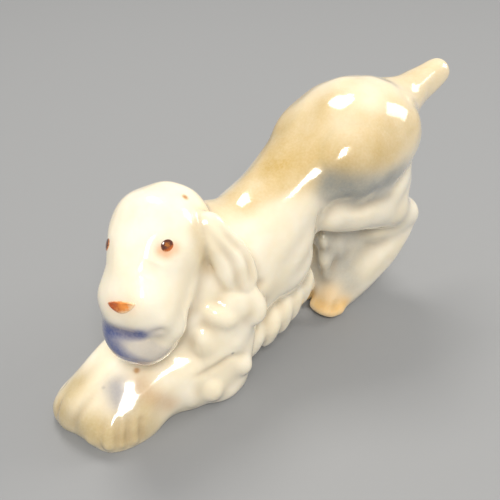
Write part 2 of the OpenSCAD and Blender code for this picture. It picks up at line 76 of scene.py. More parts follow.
class Form:
    """A closed form given by stations [x, y, z, half width, rise, drop, squareness] along a spine, in mm.
    Its section is a superellipse across the spine, and both ends close like the end of an egg over
    the given shares of the length."""

    def __init__(self, rows, up=UP, ends=(0.12, 0.14)):
        self.rows, self.up, self.ends = np.array(rows, float), np.array(up, float), ends

    def stations(self, share):
        """Middle, directions sideways and upwards, sizes, and the share of them that the egg ends leave."""
        row = spline(self.rows, share)
        step = 0.001
        ahead = spline(self.rows[:, :3], np.minimum(share + step, 1))
        along = unit(ahead - spline(self.rows[:, :3], np.maximum(share - step, 0)))
        side = unit(np.cross(along, self.up))
        start = np.clip(share / self.ends[0], 0, 1)
        stop = np.clip((1 - share) / self.ends[1], 0, 1)
        egg = np.sqrt((1 - (1 - start) ** 2) * (1 - (1 - stop) ** 2))
        return row[:, :3], side, np.cross(side, along), row[:, 3:], egg

    def skin(self, share, angle):
        """Points of the skin at shares and angles of one shape: the middle, plus sideways half width times
        cosine, plus upwards rise or drop times sine, each to the power 2 / squareness."""
        middle, side, rise, size, egg = (a.reshape(*share.shape, -1) for a in self.stations(share.ravel()))
        x, z = (np.sign(w(angle)) * np.abs(w(angle)) ** (2 / size[..., 3]) for w in (np.cos, np.sin))
        egg = egg[..., 0]
        out = side * (egg * size[..., 0] * x)[..., None]
        return middle + out + rise * (egg * np.where(z > 0, size[..., 1], size[..., 2]) * z)[..., None]

    def surface(self, rings=64, sides=72):
        """Points and triangles of the skin, with the shares set closer at both ends."""
        k = np.arange(1, rings) / rings
        share = (1 - np.cos(np.pi * k)) / 4 + k / 2
        angle = np.linspace(0, 2 * np.pi, sides, endpoint=False)
        grid = self.skin(*np.meshgrid(share, angle, indexing="ij")).reshape(-1, 3)
        return np.vstack([self.rows[0, :3], grid, self.rows[-1, :3]]), ring_faces(rings - 1, sides)

    def distance(self, points, samples=60):
        """Distance of points from the skin, negative inside: measured along the line from the nearest of
        some places on the spine, where the section's own formula says how far out the skin is."""
        middle, side, rise, size, egg = self.stations(np.linspace(0, 1, samples))
        near = np.argmin((middle**2).sum(1) - 2 * points @ middle.T, axis=1)
        arm = points - middle[near]
        size, egg = size[near], np.maximum(egg[near], 0.05)
        x = np.abs((arm * side[near]).sum(1)) / (size[:, 0] * egg)
        z = (arm * rise[near]).sum(1) / egg
        z = np.abs(z) / np.where(z > 0, size[:, 1], size[:, 2])
        share = np.maximum((x ** size[:, 3] + z ** size[:, 3]) ** (1 / size[:, 3]), 0.02)
        return np.linalg.norm(arm, axis=1) * (1 - 1 / share)


def ring_faces(rings, sides):
    """Triangles of rings of points between two poles: two per grid cell, and a fan at each pole."""
    j = np.arange(sides)
    n = (j + 1) % sides
    first = 1 + sides * np.arange(rings - 1)[:, None]
    a, b = first + j, first + n
    wall = np.stack([np.stack([a, b, b + sides], -1), np.stack([a, b + sides, a + sides], -1)], 2)
    end = 1 + sides * (rings - 1)
    start_fan = np.stack([0 * j, 1 + n, 1 + j], -1)
    end_fan = np.stack([0 * j + end + sides, end + j, end + n], -1)
    return np.vstack([start_fan, wall.reshape(-1, 3), end_fan])


# %% [markdown]
# ## Trunk and tail
# Each cast piece is a few stations along its spine, in millimetres in the figure's own frame: the dog faces
# -Y, its left is +X, and it stands on Z = 0. They follow the sizes of the solids, a little fuller or slimmer
# where wet clay lets the potter round a form over or draw it out. The trunk slopes from the breast on the
# ground up to the rump. It could be sculpted from one tube; a belly and a croup of their own keep the deep
# chest and the drawn-out root of the tail easy to set.

# %% Trunk and tail
LEFT, RIGHT = 1, -1
SIDES = {"left": LEFT, "right": RIGHT}


def section(y, width, top, clear):
    """Station of the trunk from its width and its top and underside above the floor."""
    middle = (top + clear) / 2
    return [0, y, middle, width / 2, top - middle, middle - clear, ROUND]


def bar(points, radii):
    """Stations of a round bar through points, with a radius at each."""
    return [[*p, r, r, r, ROUND] for p, r in zip(points, radii)]


trunk = Form([
    section(-25, 11, 20, 4.5),
    section(-12, 16.4, 28.8, 4),
    section(0, 15.2, 32.8, 18),
    section(8.5, 16.2, 37.6, 27.5),
    section(18, 19.6, 43, 29),
    section(31.6, 13, 39, 28.5),
])
belly = Form([
    [0, -1, 29, 7.0, 6.6, 4, BOXY],
    [0, -1, 24, 7.8, 7.2, 6.5, BOXY],
    [0, -1, 17, 7.7, 6.9, 8.5, BOXY],
    [0, -1, 9, 7.1, 6.6, 8.5, BOXY],
], up=(0, 1, 0), ends=(0.25, 0.3))
croup = Form(bar([(0, 25, 35.6), (0, 29.7, 36.9), (0, 34, 38.2)], [6.4, 4.1, 3.2]), ends=(0.15, 0.1))
tail_line = [(0, 29.7, 36.9), (0, 34, 38.1), (0, 37.6, 39.0), (0, 40.8, 40.3)]
tail = Form(bar(tail_line, [3.2, 3.1, 2.9, 2.8]), ends=(0.1, 0.1))
print("tail ends", tail_line[-1][1], "mm behind the middle of the figure")

# %% [markdown]
# ## Head, neck and ball
# The head looks round to the dog's left, nods and leans over all at once. It could be modelled upright and
# turned afterwards; here it gets three axes of its own, so that every place on it can be given as left,
# forward and up of the point between the eyes, and the eyes, the nose and the paint use the same axes later.

# %% Axes of the head, then the skull with its muzzle
eye_point = np.array([0.2, -24.3, 30.0])
turn, nod, tilt = np.radians([22, 10, 17])
head_forward = np.array([np.sin(turn) * np.cos(nod), -np.cos(turn) * np.cos(nod), -np.sin(nod)])
level_left = np.array([np.cos(turn), np.sin(turn), 0])
level_up = np.cross(head_forward, level_left)
head_left = level_left * np.cos(tilt) + level_up * np.sin(tilt)
head_up = level_up * np.cos(tilt) - level_left * np.sin(tilt)
head_axes = np.array([head_left, head_forward, head_up])


def on_head(places):
    """Places given as left, forward and up of the point between the eyes, in the figure's frame."""
    return eye_point + np.asarray(places, float) @ head_axes


def head_station(forward, middle, width, rise, drop, squareness, aside=0.0):
    """Station of the head: width, height above and depth below the level of the eyes."""
    return [*on_head((aside, forward, middle)), width / 2, rise - middle, drop + middle, squareness]


head = Form([
    head_station(-12.6, -1.8, 8.4, 1.9, 7.2, ROUND),
    head_station(-9.6, -1.6, 12.0, 4.1, 8.6, ROUND),
    head_station(-5.0, -1.8, 14.8, 5.8, 9.4, ROUND, -0.2),
    head_station(-1.3, -2.6, 13.6, 4.0, 11.4, ROUND, 0.2),
    head_station(1.8, -4.6, 11.2, 1.9, 13.6, 2.2, 0.4),
    head_station(5.6, -6.0, 11.2, -0.5, 12.8, 2.4, 0.5),
    head_station(9.9, -6.2, 10.8, -2.1, 9.4, 2.7, 0.6),
], up=head_up, ends=(0.18, 0.13))
print("head turned", np.degrees(turn), "degrees, eyes", eye_point[2], "mm above the floor")

# %% Neck, ball and the flews that hang over it
withers, nape = np.array([0, -6, 19.6]), on_head((0, -6.9, -3.2))
crest = (withers + nape) / 2 + [0, 0, 0.2]
neck = Form(bar([withers, crest, nape], [6.5, 6.5, 6.0]), ends=(0.2, 0.3))
ball_radius = 6.0
ball_place = (-1.6, 5.0, -11.1)
ball_line = [on_head(np.add(ball_place, (step * ball_radius, 0, 0))) for step in (-1, 0, 1)]
ball = Form(bar(ball_line, [ball_radius] * 3), up=head_up, ends=(0.5, 0.5))
left_flew = Form([
    [*on_head((3.0, 4.6, -6.0)), 2.9, 3.4, 4.2, ROUND],
    [*on_head((3.1, 4.6, -10.0)), 2.6, 3.0, 3.8, ROUND],
    [*on_head((3.2, 4.2, -14.0)), 1.6, 2.0, 2.8, ROUND],
], up=head_forward, ends=(0.3, 0.3))
right_flew = Form([
    [*on_head((-2.3, 6.2, -5.4)), 3.0, 3.2, 4.0, ROUND],
    [*on_head((-2.5, 6.4, -7.6)), 2.8, 3.0, 3.8, ROUND],
    [*on_head((-2.6, 6.0, -9.8)), 1.8, 2.2, 2.8, ROUND],
], up=head_forward, ends=(0.3, 0.3))
print("ball", 2 * ball_radius, "mm across")

# %% [markdown]
# ## Legs
# The forelegs lie on the ground like two ramps that end in broad paws. Each hind leg is a thigh under a round
# haunch, a gaskin that runs back from the knee, a hock, and a shank that comes forwards again to the toes.
# One long sausage could follow that zigzag, but its corners would pinch; separate short forms overlap at the
# joints as the casts do.

# %% Forelegs
shoulder_x, wrist_width = 6.2, 6.8


def leg_station(x, y, width, height, middle=0.45):
    """Station of a foreleg that lies on the floor, from its width and height."""
    return [x, y, middle * height, width / 2, (1 - middle) * height, (1 - middle) * height, LEG]


def foreleg(side, reach, height, paw, paw_width, paw_height=7.2, paw_length=7.4):
    """A foreleg from the shoulder forwards to the paw, as a ramp that lies and spreads on the floor."""
    root = side * shoulder_x
    return Form([
        leg_station(root, -12, 1.2 * wrist_width, 1.3 * height),
        leg_station((2 * root + paw) / 3, -20, 1.1 * wrist_width, 1.2 * height),
        leg_station((root + 3 * paw) / 4, -26, wrist_width, height),
        leg_station(paw, paw_length - reach, paw_width, paw_height, 0.3),
        leg_station(paw - 0.6 * side, -reach, 0.86 * paw_width, 0.7 * paw_height, 0.3),
    ], ends=(0.1, 0.12))


forelegs = {LEFT: foreleg(LEFT, 38.4, 9.8, 3.3, 10), RIGHT: foreleg(RIGHT, 40.5, 12, -3.9, 8.6)}
print("paws reach", [round(-form.rows[-1, 1], 1) for form in forelegs.values()], "mm ahead of the middle")


# %% Hind legs
def haunch(side):
    """Round mass of the rump on one side, which overhangs the leg."""
    return Form([
        [side * 2.6, 2.5, 32.2, 2.6, 3.6, 4, ROUND],
        [side * 3.6, 10, 32.2, 6.8, 6.4, 4, ROUND],
        [side * 4.0, 17, 33.0, 8.2, 6.9, 4, ROUND],
        [side * 3.4, 24, 34.8, 6.6, 5.8, 4, ROUND],
        [side * 2.4, 28.4, 36.2, 3.8, 4.0, 4, ROUND],
    ], up=(side, 0, 0), ends=(0.3, 0.3))


def thigh(side):
    """Upper leg from hip to knee, flattened against the trunk."""
    return Form([
        [side * 3.7, 23, 36.5, 6, 5, 4, ROUND],
        [side * 4.6, 20.9, 30, 6.6, 3.8, 4, ROUND],
        [side * 5.0, 20, 25.4, 7.6, 4.3, 4, ROUND],
        [side * 5.4, 18.4, 20.2, 5.4, 3.3, 2.9, ROUND],
    ], up=(side, 0, 0), ends=(0.2, 0.2))


def gaskin(side):
    """Lower thigh, a level band from the knee back to the hock."""
    line = [(3.4, 5.2, 23.6), (5.9, 13.6, 22.9), (6.1, 21.5, 20.5), (5.4, 28.6, 16.8)]
    rows = bar(np.multiply(line, (side, 1, 1)), [2.7, 3.4, 3.4, 2.9])
    return Form(rows, up=(side, 0, 0), ends=(0.2, 0.2))


def shank(side):
    """Hock down and forwards to the toes."""
    return Form([
        [side * 5.4, 29.2, 16.6, 2.5, 2.4, 2.4, ROUND],
        [side * 4.8, 24.4, 11.2, 4.05, 2.9, 2.9, ROUND],
        [side * 4.1, 18.8, 6.7, 4.5, 2.9, 2.9, ROUND],
        [side * 3.1, 14.2, 3.4, 4.2, 3.0, 3.0, ROUND],
        [side * 2.9, 10.0, 2.6, 3.2, 3.0, 3.0, ROUND],
    ], up=(side, 0, 0), ends=(0.12, 0.14))


def hock(side):
    """Heel of the hind leg, and the web of clay that fades forwards between gaskin and shank."""
    return Form([
        [side * 5.3, 30.2, 17.3, 2.2, 2.4, 2.4, ROUND],
        [side * 5.4, 27.6, 17.0, 3.4, 3.1, 3.1, ROUND],
        [side * 5.0, 23.0, 16.6, 3.7, 2.8, 2.8, ROUND],
        [side * 4.4, 18.0, 16.4, 3.0, 2.2, 2.2, ROUND],
    ], up=(side, 0, 0), ends=(0.2, 0.2))


# %% [markdown]
# ## Ears, feathering and fringe
# The coat shows as thick lobes: curls over the shoulder, folds under the belly, small curls behind the knee,
# and the hanging ears. A particle system would make hairs, which porcelain doesn't have. So every lobe is a
# short round bar through places that were given on the figure, each with its own radius, and the mass below
# holds them together. The toes of the hind feet are made the same way.

# %% Ears
ear_length, ear_half_thickness = 14.8, 1.4


def ear(side):
    """A flap from the side of the skull: the left falls back over the neck, the right straight down.
    Its middle line is straight plus a bow outwards that is a parabola of the share of the way down."""
    root = on_head((side * 6.3, -7.6, 0.2))
    fall = unit(np.array([3.2, 4, -11.6] if side == LEFT else [-1, 4.6, -11.6]))
    face = (0.8, -0.25, 0.55) if side == LEFT else (-0.92, -0.2, 0.3)
    outline = ((0, 1.8), (0.3, 2.5), (0.6, 3.0), (0.85, 2.8), (1, 2.2))
    rows = []
    for share, width in outline:
        bow = 0.25 * share * (1.2 - share) * np.array([side, 0, 0])
        middle = root + ear_length * (share * fall + bow)
        rows.append([*middle, width, ear_half_thickness, ear_half_thickness, ROUND])
    return Form(rows, up=face, ends=(0.15, 0.12))


# %% Shoulder feathering, small curls, toes and belly fringe
def ruff(side):
    """Mass of shoulder feathering from the shoulder down to the floor, under its curls."""
    return Form([
        [side * 6.8, -13.5, 21.5, 2.5, 2.3, 3.5, ROUND],
        [side * 7.2, -12.8, 17, 4.9, 2.3, 3.5, ROUND],
        [side * 7.4, -13.9, 12, 5.0, 2.3, 3.5, ROUND],
        [side * 7.6, -15.3, 6, 5.4, 2.3, 3.5, ROUND],
        [side * 7.3, -16.6, -0.4, 5.4, 2.3, 3.5, ROUND],
    ], up=(side, 0, 0), ends=(0.15, 0.12))


def locks(side, paths):
    """Curls and locks of the coat: round bars through places, each with its radius."""
    rows = [[[side * x, y, z, r, r, r, ROUND] for x, y, z, r in path] for path in paths]
    return [Form(path_rows, up=(0.3, 1, 0.2), ends=(0.4, 0.25)) for path_rows in rows]


ruff_locks = [
    [(6.1, -18.0, 19.6, 1.1), (7.3, -16.6, 18.0, 1.9), (7.8, -15.0, 16.6, 2.0), (7.7, -14.2, 15.6, 1.4)],
    [(7.1, -13.2, 21.6, 1.0), (8.0, -12.6, 19.2, 1.4), (8.2, -12.4, 16.8, 1.6), (7.9, -12.8, 14.6, 1.1)],
    [(6.9, -10.8, 22.0, 1.1), (8.0, -10.3, 18.8, 1.8), (8.4, -10.0, 15.6, 2.1), (7.7, -11.0, 12.9, 1.2)],
    [(5.9, -19.0, 16.4, 1.0), (6.8, -18.6, 14.4, 1.8), (7.0, -18.2, 12.4, 1.9), (6.7, -17.6, 10.8, 1.2)],
    [(7.2, -15.6, 14.6, 1.0), (7.9, -14.6, 12.6, 1.9), (7.9, -13.8, 10.6, 1.8), (7.4, -13.2, 9.0, 1.2)],
    [(7.3, -15.8, 9.6, 1.0), (8.3, -14.2, 8.0, 1.9), (8.5, -12.8, 6.0, 2.1), (7.8, -12.6, 4.0, 1.3)],
    [(7.1, -19.6, 8.2, 1.0), (7.9, -19.0, 6.0, 2.0), (8.1, -18.4, 3.8, 2.2), (7.7, -17.6, 1.4, 1.6)],
    [(6.3, -22.8, 8.4, 0.9), (6.9, -22.4, 6.0, 1.6), (7.0, -21.8, 3.4, 1.7), (6.5, -21.4, 0.8, 1.3)],
    [(7.5, -16.6, 5.0, 1.1), (8.2, -15.8, 2.8, 1.8), (7.6, -15.2, 0.6, 1.4)],
]
web_locks = [
    [(2.8, 9.6, 20.2, 0.9), (3.2, 9.7, 17.2, 1.3), (2.5, 10.7, 14.8, 1.2), (2.8, 10.9, 12.2, 1.4),
     (2.5, 11.5, 9.8, 1.2), (2.9, 11.4, 7.4, 1.1)],
    [(3.6, 11.6, 19.0, 0.8), (3.8, 12.6, 15.4, 1.1), (3.4, 13.4, 11.8, 1.0)],
]
toes = [
    [(1.6, 12.0, 2.6, 1.2), (1.6, 9.9, 1.6, 1.3), (1.6, 9.2, 1.0, 1.1)],
    [(3.4, 12.0, 2.6, 1.2), (3.5, 9.9, 1.6, 1.3), (3.6, 9.1, 1.0, 1.1)],
    [(4.4, 12.6, 2.6, 1.2), (5.1, 10.7, 1.6, 1.3), (5.4, 10.0, 1.0, 1.1)],
    [(4.6, 13.4, 2.6, 1.2), (5.8, 12.4, 1.6, 1.2), (6.3, 12.0, 1.0, 1.0)],
]
fringe_mass = Form([
    [0, -10, 9, 4.8, 6.5, 5.6, FULL],
    [0, -4, 10.4, 4.9, 6.5, 6.8, FULL],
    [0, 1, 12.4, 4.8, 6.5, 8.6, FULL],
    [0, 6, 15.6, 4.2, 6.5, 11, FULL],
], ends=(0.15, 0.15))
fringe_locks = [
    [(5.0, -7.4, 12, 1.2), (5.7, -7.6, 7.4, 1.9), (5.3, -8.8, 2.2, 1.0)],
    [(5.1, -4.0, 12.8, 1.2), (5.7, -4.2, 7.6, 1.9), (5.3, -5.4, 2.8, 1.0)],
    [(5.0, -0.8, 13.6, 1.1), (5.6, -1.2, 8.8, 1.7), (5.3, -2.2, 3.9, 0.9)],
    [(4.9, 1.9, 14.8, 1.0), (5.4, 1.5, 10.2, 1.5), (5.2, 0.6, 5.2, 0.8)],
    [(4.6, 4.4, 17.0, 1.0), (5.1, 4.1, 12.0, 1.5), (4.9, 3.2, 7.0, 0.8)],
]
print(len(ruff_locks), "curls on each shoulder,", len(fringe_locks), "folds on each side of the belly")

# %% Forms of each named piece, and wads of clay between the legs
cast = {
    "body": [trunk, belly, croup, neck],
    "head": [head, left_flew, right_flew],
    "ball": [ball],
    "tail": [tail],
    "belly_fringe": [fringe_mass, *locks(LEFT, fringe_locks), *locks(RIGHT, fringe_locks)],
}
for name, side in SIDES.items():
    cast[f"{name}_foreleg"] = [forelegs[side]]
    cast[f"{name}_thigh"] = [haunch(side), thigh(side), gaskin(side)]
    cast[f"{name}_shank"] = [shank(side), hock(side), *locks(side, web_locks), *locks(side, toes)]
    cast[f"{name}_ear"] = [ear(side)]
    cast[f"{name}_ruff"] = [ruff(side), *locks(side, ruff_locks)]
seam_x = -0.5
foreleg_wad = Form([
    leg_station(seam_x, -12, 9, 13),
    leg_station(seam_x, -27, 9, 11.4),
    leg_station(seam_x, -39.4, 8, 6, 0.3),
])
hind_leg_wad = Form([
    [0, 13, 25, 7, 4.4, 4.4, ROUND],
    [0, 18.5, 17.5, 9.5, 5, 5, ROUND],
    [0, 17.5, 10, 6.4, 5, 5, ROUND],
    [0, 13.5, 2, 4, 4.2, 4.2, ROUND],
], up=(1, 0, 0))
print(len(cast), "pieces cast from", sum(map(len, cast.values())), "forms")

# %% [markdown]
# ## Joining the pieces
# A potter scores the casts, presses them together and draws wet clay over the joins. In Blender the same
# is done by a voxel remesh, which wraps one skin round everything, followed by a fill of the creases. The
# fill moves a point out along its normal wherever the skin is hollower than the wanted fillet, and never
# in, so round parts keep their size. A bevel can't do this, because the joins have no edges to bevel. The
# joining goes in stages, so each join gets a fillet of its own: the large masses first, the ears last.

# %% One skin round several surfaces
COARSE, FINE = 0.5, 0.25


def knead(surfaces, grain):
    """Points and triangles of one closed skin round all surfaces, by a voxel remesh of a given grain."""
    first = np.cumsum([0] + [len(points) for points, _ in surfaces])
    mesh = bpy.data.meshes.new("clay")
    mesh.from_pydata(np.vstack([s[0] for s in surfaces]), [],
                     np.vstack([s[1] + k for s, k in zip(surfaces, first)]))
    lump = bpy.data.objects.new("clay", mesh)
    bpy.context.scene.collection.objects.link(lump)
    remesh = lump.modifiers.new("skin", "REMESH")
    remesh.mode = "VOXEL"
    remesh.voxel_size = grain
    whole = lump.evaluated_get(bpy.context.evaluated_depsgraph_get()).to_mesh()
    whole.calc_loop_triangles()
    points = np.empty(3 * len(whole.vertices), np.float32)
    triangles = np.empty(3 * len(whole.loop_triangles), np.int32)
    whole.vertices.foreach_get("co", points)
    whole.loop_triangles.foreach_get("vertices", triangles)
    bpy.data.objects.remove(lump)
    bpy.data.meshes.remove(mesh)
    return points.reshape(-1, 3).astype(float), triangles.reshape(-1, 3)


# %% Normals, neighbours and the crease fill
def scatter(index, values, count):
    """Sum of the rows of values that share an index."""
    return np.stack([np.bincount(index, values[:, k], count) for k in range(values.shape[1])], 1)


def normals(points, triangles):
    """Unit normal at each point: the sum of its triangles' cross products."""
    a, b, c = (points[triangles[:, k]] for k in range(3))
    face = np.cross(b - a, c - a)
    return unit(scatter(triangles.T.ravel(), np.tile(face, (3, 1)), len(points)) + 1e-12)


def edges_of(triangles):
    """Each edge once, as a pair of points."""
    pairs = np.sort(np.vstack([triangles[:, [0, 1]], triangles[:, [1, 2]], triangles[:, [2, 0]]]), axis=1)
    key = np.unique(pairs[:, 0].astype(np.int64) << 32 | pairs[:, 1])
    return np.stack([key >> 32, key & 0xFFFFFFFF], 1)


def lean(points, edges):
    """Step from each point to the mean of its neighbours."""
    a, b = edges.T
    count = np.bincount(edges.ravel(), minlength=len(points))[:, None]
    return (scatter(a, points[b], len(points)) + scatter(b, points[a], len(points))) / count - points


def fill_creases(points, triangles, fillet, passes, ease=0.04, fill=0.7, wipes=5):
    """Raise hollows until none is tighter than the fillet radius. A hollow of radius R leans out by
    about spacing squared over 2 R, so only what leans more than that is moved. Last, the skin is wiped
    as with a wet sponge: each point moves half way to the mean of its neighbours, a few times over."""
    edges = edges_of(triangles)
    spacing = np.linalg.norm(points[edges[:, 0]] - points[edges[:, 1]], axis=1).mean()
    least = spacing**2 / (2 * fillet)
    for k in range(passes):
        if k % 10 == 0:
            out = normals(points, triangles)
        step = lean(points, edges)
        rise = (step * out).sum(1)
        points = points + ease * step + fill * np.maximum(rise - least, 0)[:, None] * out
    for k in range(wipes):
        points = points + 0.5 * lean(points, edges)
    return points


# %% Join the masses, then the hind legs, the head, the feathering and the ears
surfaces = {name: [form.surface() for form in forms] for name, forms in cast.items()}


def named(*ends):
    """Surfaces of all pieces whose names have one of the endings."""
    return [s for name in cast if name.endswith(ends) for s in surfaces[name]]


haunches = [surfaces[f"{name}_thigh"][0] for name in SIDES]
lower_legs = [surface for name in SIDES for surface in surfaces[f"{name}_shank"][:2]]
# Each stage: grain, fillet radius, passes of the fill, and the surfaces that are added
stages = [
    (COARSE, 6.0, 80, named("body", "tail", "foreleg") + haunches + [foreleg_wad.surface()]),
    (COARSE, 3.0, 60, named("thigh")),
    (FINE, 3.0, 60, lower_legs + [hind_leg_wad.surface()]),
    (FINE, 1.2, 26, named("shank")),
    (FINE, 2.4, 50, named("head")),
    (FINE, 1.0, 24, named("ball")),
    (FINE, 2.1, 46, named("ruff", "fringe")),
    (FINE, 1.3, 32, named("ear")),
]
skin, tris = np.empty((0, 3)), np.empty((0, 3), int)
for grain, fillet, passes, added in stages:
    skin, tris = knead([(skin, tris), *added] if len(tris) else added, grain)
    skin = fill_creases(skin, tris, fillet, passes)
edges = edges_of(tris)
print(f"{len(skin)} points and {len(tris)} triangles of clay")

# %% [markdown]
# ## Pressing in the details
# With the clay still soft the potter draws a rounded tool along the haunch, the gaskin and the toes, and
# rolls the curls of the coat between two strokes. Each stroke below is a short path on the skin: points
# near it move along their normals, most on the path itself and less to the sides. Sculpt mode has brushes
# for this, but strokes that are written down can be moved and repeated: the two sides of the figure are near
# mirror images, so most of them are used again with x reversed. Last, the whole skin gets a faint
# unevenness, because clay that is finished by hand is never quite true.

# %% Brush weights and tool strokes
def brush(points, path, width, blunt=False):
    """Weight of a brush drawn along a path: a bell curve of the distance from the path divided by the
    width, which fades towards both ends unless the brush is blunt. One point alone makes a round dab."""
    path = np.atleast_2d(np.asarray(path, float))
    line = spline(path, np.linspace(0, 1, 32)) if len(path) > 1 else path
    near = np.flatnonzero(((points > line.min(0) - 3 * width) & (points < line.max(0) + 3 * width)).all(1))
    gap = ((points[near, None] - line) ** 2).sum(2)
    nearest = np.argmin(gap, axis=1)
    fade = 1 if blunt or len(path) == 1 else np.sin(np.pi * (nearest + 1) / (len(line) + 1)) ** 0.5
    weight = np.zeros(len(points))
    weight[near] = fade * np.exp(-gap.min(1) / width**2)
    return weight


def press(points, out, strokes):
    """Move points along their normals by the sum of strokes (path, width, height)."""
    lift = sum(height * brush(points, path, width) for path, width, height in strokes)
    return points + lift[:, None] * out


def mirrored(strokes):
    """The strokes, and the same with x reversed."""
    return strokes + [(np.atleast_2d(path) * (-1, 1, 1), width, height) for path, width, height in strokes]


# %% Head: sockets, brows, furrow, bridge and flews
head_strokes = mirrored([
    ([(5.6, 0.9, 0.2)], 1.8, -0.5),
    ([(2.8, 1.6, 2.4), (5.0, 0.2, 2.7), (6.6, -1.8, 1.8)], 1.2, 0.18),
    ([(4.3, 2.0, -1.2), (5.7, 1.2, -1.6), (6.9, -0.4, -1.0)], 0.8, 0.08),
    ([(4.6, 2.6, -0.6), (4.2, 4.6, -1.6)], 1.4, -0.35),
])
head_strokes += [
    ([(-4.4, 2.2, -0.2), (-4.8, 3.6, -2.4)], 1.7, -0.9),
    ([(0.3, 1.4, 2.6), (0.2, -1.0, 4.0), (0.1, -3.5, 5.0)], 1.3, -0.2),
    ([(3.8, 8.4, -8.2), (5.4, 7.4, -9.0), (5.2, 6.8, -12.4)], 0.6, -0.3),
]
out = normals(skin, tris)
skin = press(skin, out, [(on_head(path), width, height) for path, width, height in head_strokes])
print(len(head_strokes), "strokes on the head")

# %% Haunches, hind legs, and the crease between two tiers of shoulder curls
leg_strokes = mirrored([
    ([(6.9, 3.6, 30.4), (7.9, 7, 27.4), (8.6, 12, 25.2), (8.8, 17, 25.4)], 0.9, -0.3),
    ([(7.2, 4.6, 28.0), (7.0, 4.8, 24), (6.2, 5.2, 19), (5.4, 5.6, 14)], 0.7, -0.35),
    ([(5.4, 8, 20.4), (7.0, 14, 19.2), (7.6, 18, 18.4)], 0.8, -0.2),
    ([(5.8, 12, 4.6), (5.6, 10, 1.2)], 0.6, -0.3),
    ([(3.4, 9.6, 5.0), (3.4, 8.0, 2.0)], 0.6, -0.3),
    ([(3.6, 8.6, 20), (4.4, 9.4, 15), (3.8, 9.2, 9)], 0.8, 0.4),
    ([(3.9, 11.6, 19), (4.2, 12.4, 14), (3.9, 12.0, 9)], 0.7, -0.3),
])
tier_line = [(9.9, -12.9, 9), (9.9, -15.6, 10), (9.3, -17.9, 9.2), (8.7, -19.9, 8.5), (8.3, -21.5, 8.3)]
tier_strokes = mirrored([(tier_line, 0.6, -0.3)])
skin = press(skin, out, leg_strokes + tier_strokes)
print(len(leg_strokes + tier_strokes), "strokes on the hind legs and the feathering")

# %% Ears: long wavy locks
def lock_paths(form, tracks, wave=0.16):
    """Paths down a flap: each keeps to one place across it and swings to and fro by a sine wave."""
    share = np.linspace(0.12, 0.9, 8)
    across = [place + wave * np.sin(9 * share + phase) for place, phase in tracks]
    return [form.skin(share, np.arccos(x)) for x in across]


grooves = [(-0.5, 0), (0.3, 0.8)]
ridges = [(-0.84, 0.3), (-0.1, 0.5), (0.66, 1.2)]
ear_strokes = []
for name in SIDES:
    form = cast[f"{name}_ear"][0]
    ear_strokes += [(path, 0.6, -0.28) for path in lock_paths(form, grooves)]
    ear_strokes += [(path, 0.9, 0.22) for path in lock_paths(form, ridges)]
    fall = unit(form.rows[-1, :3] - form.rows[-2, :3])
    across = form.stations(np.ones(1))[1]
    below = form.rows[-1, :3] + 0.8 * fall + np.outer((-2.6, 0, 2.6), across)
    ear_strokes += [(below, 0.8, -0.6)]
skin = press(skin, out, ear_strokes)
print(len(ear_strokes), "strokes on the ears")

# %% Paws: toes, and the crease where the forelegs meet
paw_strokes = [
    ([(0.2, -32, 8.6), (1.3, -36, 7.2), (1.4, -38, 5.6), (0.8, -39.3, 3.4), (-0.2, -39.8, 0.6)], 0.7, -0.45),
    ([(4.6, -35.6, 5.4), (5.2, -36.6, 3.4), (5.6, -37.2, 0.8)], 0.45, -0.4),
    ([(6.0, -33.9, 5.6), (6.8, -34.7, 4.7), (7.3, -35.2, 3.3), (7.6, -35.6, 0.8)], 0.45, -0.45),
    ([(6.6, -32.6, 5.4), (7.4, -33.2, 4.5), (7.8, -33.7, 2.7), (8.0, -34.0, 0.8)], 0.45, -0.45),
    ([(7.0, -30.6, 5.0), (7.8, -31.1, 4.1), (8.1, -31.5, 2.1), (8.1, -31.7, 0.6)], 0.45, -0.45),
    ([(-3.4, -37.6, 5.4), (-3.4, -39.8, 3.4), (-3.4, -40.6, 0.6)], 0.5, -0.4),
    ([(-6.0, -36.6, 5.4), (-6.6, -38.6, 3.4), (-6.8, -39.4, 0.6)], 0.5, -0.4),
    ([(3.6, -37.9, 1.8)], 1.0, 0.3),
    ([(6.5, -36.2, 1.8)], 0.9, 0.3),
    ([(7.8, -34.6, 1.6)], 0.8, 0.3),
    ([(8.2, -32.6, 1.4)], 0.8, 0.3),
]
skin = press(skin, out, paw_strokes)
skin = skin + 0.5 * lean(skin, edges)
print(len(paw_strokes), "strokes on the paws")

# %% Uneven surface, and soles wiped flat
wobble = 0.04


def uneven(points):
    """Sum of three sine waves in different directions, about 4 mm from crest to crest."""
    x, y, z = points.T
    return np.sin(1.3 * x + 0.7 * y) + np.sin(1.1 * y - 0.9 * z + 1) + np.sin(1.2 * z + 0.8 * x - 0.6 * y + 2)


skin = skin + wobble * uneven(skin)[:, None] * out
skin[:, 2] = np.maximum(skin[:, 2], 0)
print("skin", np.round(np.ptp(skin, axis=0), 1), "mm along x, y and z")

# %% [markdown]
# ## Spraying and brushing the colours
# Under the glaze the colour is pigment, blown on with an airbrush or laid on with a brush. Sprayed pigment
# adds up, so each colour is a density: the sum of soft passes along paths on the skin, and it covers
# 1 - exp(-density) of the ivory. Some passes stand partly for painted shade: the grey under the haunches and
# between the hind legs, the tan between cheek and ear, and the deeper blue on the ball's lower left. Image
# textures would need an unwrapped skin; instead the result is stored at the points as one attribute per
# colour. A last attribute keeps how hollow the skin is, because glaze pools in the hollows; it also darkens
# the hollows as painted shade.

# %% Tan on the back, and grey under the haunches and between the hind legs that is partly painted shade
def spray(points, passes):
    """Share of the ivory that is covered by passes (path, width, strength) of one colour."""
    return 1 - np.exp(-sum(strength * brush(points, path, width, True) for path, width, strength in passes))


